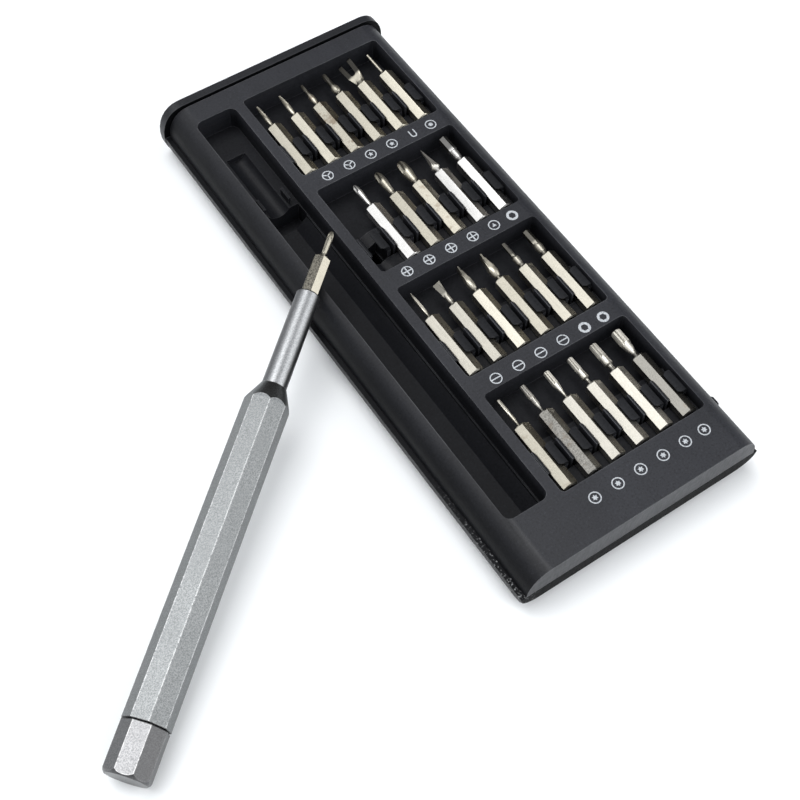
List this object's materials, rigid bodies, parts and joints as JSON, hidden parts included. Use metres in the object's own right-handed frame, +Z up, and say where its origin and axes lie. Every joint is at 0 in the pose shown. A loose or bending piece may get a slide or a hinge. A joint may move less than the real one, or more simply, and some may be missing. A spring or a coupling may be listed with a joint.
{
  "type": "precision screwdriver set",
  "caption": "Flat oval tray with pockets of small hexagonal bits and a long driver channel, and an octagonal magnetic bit driver with a spinning end cap leaning on its edge.",
  "frame": {"origin": "centre of the tray's flat underside, on the table", "axes": "+X across the tray towards the bit pockets, +Y along the tray towards its end flange, +Z up"},
  "size_m": [0.1676, 0.1658, 0.0216],
  "materials": {
    "tray_plastic": "fine-textured near-black moulding",
    "base_plastic": "near-black moulding, a little smoother, rubbed at its edges",
    "anodised_aluminium": "bead-blasted grey anodised",
    "cap_aluminium": "bead-blasted, slightly darker",
    "bit_steel": "satin nickel plate",
    "bearing_steel": "ground",
    "magnet_plating": "nickel-plated magnet"
  },
  "bodies": {
    "tray": {"bit_tray": "tray_plastic", "tray_base": "base_plastic"},
    "driver": {"handle_barrel": "anodised_aluminium", "bearing_outer_ring": "bearing_steel", "socket_magnet": "magnet_plating"},
    "cap": {"end_cap": "cap_aluminium", "spindle_screw": "bearing_steel", "bearing_inner_ring": "bearing_steel", "bearing_ball_ring": "bearing_steel"},
    "bit_cross_1": {"bit_cross_1": "bit_steel"},
    "bit_three_wing_1": {"bit_three_wing_1": "bit_steel"},
    "bit_three_wing_2": {"bit_three_wing_2": "bit_steel"},
    "bit_five_lobe_1": {"bit_five_lobe_1": "bit_steel"},
    "bit_five_lobe_2": {"bit_five_lobe_2": "bit_steel"},
    "bit_fork": {"bit_fork": "bit_steel"},
    "bit_pin": {"bit_pin": "bit_steel"},
    "bit_cross_2": {"bit_cross_2": "bit_steel"},
    "bit_cross_3": {"bit_cross_3": "bit_steel"},
    "bit_cross_4": {"bit_cross_4": "bit_steel"},
    "bit_triangle": {"bit_triangle": "bit_steel"},
    "bit_hex_3": {"bit_hex_3": "bit_steel"},
    "bit_slot_1": {"bit_slot_1": "bit_steel"},
    "bit_slot_2": {"bit_slot_2": "bit_steel"},
    "bit_slot_3": {"bit_slot_3": "bit_steel"},
    "bit_slot_4": {"bit_slot_4": "bit_steel"},
    "bit_hex_1": {"bit_hex_1": "bit_steel"},
    "bit_hex_2": {"bit_hex_2": "bit_steel"},
    "bit_star_1": {"bit_star_1": "bit_steel"},
    "bit_star_2": {"bit_star_2": "bit_steel"},
    "bit_star_3": {"bit_star_3": "bit_steel"},
    "bit_star_4": {"bit_star_4": "bit_steel"},
    "bit_star_5": {"bit_star_5": "bit_steel"},
    "bit_star_6": {"bit_star_6": "bit_steel"}
  },
  "joints": [
    {"name": "driver_lift", "type": "slide", "parent": "tray", "child": "driver", "axis": [0, 0, 1], "range_m": [0, 0.06]},
    {"name": "cap_spin", "type": "hinge", "parent": "driver", "child": "cap", "pos_m": [-0.1288, -0.0686, 0.0055], "axis": [0.7707, 0.6286, 0.1045], "continuous": true},
    {"name": "bit_cross_1_out", "type": "slide", "parent": "driver", "child": "bit_cross_1", "axis": [0.7707, 0.6286, 0.1045], "range_m": [0, 0.012]},
    {"name": "bit_three_wing_1_lift", "type": "slide", "parent": "tray", "child": "bit_three_wing_1", "axis": [0, 0, 1], "range_m": [0, 0.03]},
    {"name": "bit_three_wing_2_lift", "type": "slide", "parent": "tray", "child": "bit_three_wing_2", "axis": [0, 0, 1], "range_m": [0, 0.03]},
    {"name": "bit_five_lobe_1_lift", "type": "slide", "parent": "tray", "child": "bit_five_lobe_1", "axis": [0, 0, 1], "range_m": [0, 0.03]},
    {"name": "bit_five_lobe_2_lift", "type": "slide", "parent": "tray", "child": "bit_five_lobe_2", "axis": [0, 0, 1], "range_m": [0, 0.03]},
    {"name": "bit_fork_lift", "type": "slide", "parent": "tray", "child": "bit_fork", "axis": [0, 0, 1], "range_m": [0, 0.03]},
    {"name": "bit_pin_lift", "type": "slide", "parent": "tray", "child": "bit_pin", "axis": [0, 0, 1], "range_m": [0, 0.03]},
    {"name": "bit_cross_2_lift", "type": "slide", "parent": "tray", "child": "bit_cross_2", "axis": [0, 0, 1], "range_m": [0, 0.03]},
    {"name": "bit_cross_3_lift", "type": "slide", "parent": "tray", "child": "bit_cross_3", "axis": [0, 0, 1], "range_m": [0, 0.03]},
    {"name": "bit_cross_4_lift", "type": "slide", "parent": "tray", "child": "bit_cross_4", "axis": [0, 0, 1], "range_m": [0, 0.03]},
    {"name": "bit_triangle_lift", "type": "slide", "parent": "tray", "child": "bit_triangle", "axis": [0, 0, 1], "range_m": [0, 0.03]},
    {"name": "bit_hex_3_lift", "type": "slide", "parent": "tray", "child": "bit_hex_3", "axis": [0, 0, 1], "range_m": [0, 0.03]},
    {"name": "bit_slot_1_lift", "type": "slide", "parent": "tray", "child": "bit_slot_1", "axis": [0, 0, 1], "range_m": [0, 0.03]},
    {"name": "bit_slot_2_lift", "type": "slide", "parent": "tray", "child": "bit_slot_2", "axis": [0, 0, 1], "range_m": [0, 0.03]},
    {"name": "bit_slot_3_lift", "type": "slide", "parent": "tray", "child": "bit_slot_3", "axis": [0, 0, 1], "range_m": [0, 0.03]},
    {"name": "bit_slot_4_lift", "type": "slide", "parent": "tray", "child": "bit_slot_4", "axis": [0, 0, 1], "range_m": [0, 0.03]},
    {"name": "bit_hex_1_lift", "type": "slide", "parent": "tray", "child": "bit_hex_1", "axis": [0, 0, 1], "range_m": [0, 0.03]},
    {"name": "bit_hex_2_lift", "type": "slide", "parent": "tray", "child": "bit_hex_2", "axis": [0, 0, 1], "range_m": [0, 0.03]},
    {"name": "bit_star_1_lift", "type": "slide", "parent": "tray", "child": "bit_star_1", "axis": [0, 0, 1], "range_m": [0, 0.03]},
    {"name": "bit_star_2_lift", "type": "slide", "parent": "tray", "child": "bit_star_2", "axis": [0, 0, 1], "range_m": [0, 0.03]},
    {"name": "bit_star_3_lift", "type": "slide", "parent": "tray", "child": "bit_star_3", "axis": [0, 0, 1], "range_m": [0, 0.03]},
    {"name": "bit_star_4_lift", "type": "slide", "parent": "tray", "child": "bit_star_4", "axis": [0, 0, 1], "range_m": [0, 0.03]},
    {"name": "bit_star_5_lift", "type": "slide", "parent": "tray", "child": "bit_star_5", "axis": [0, 0, 1], "range_m": [0, 0.03]},
    {"name": "bit_star_6_lift", "type": "slide", "parent": "tray", "child": "bit_star_6", "axis": [0, 0, 1], "range_m": [0, 0.03]}
  ]
}
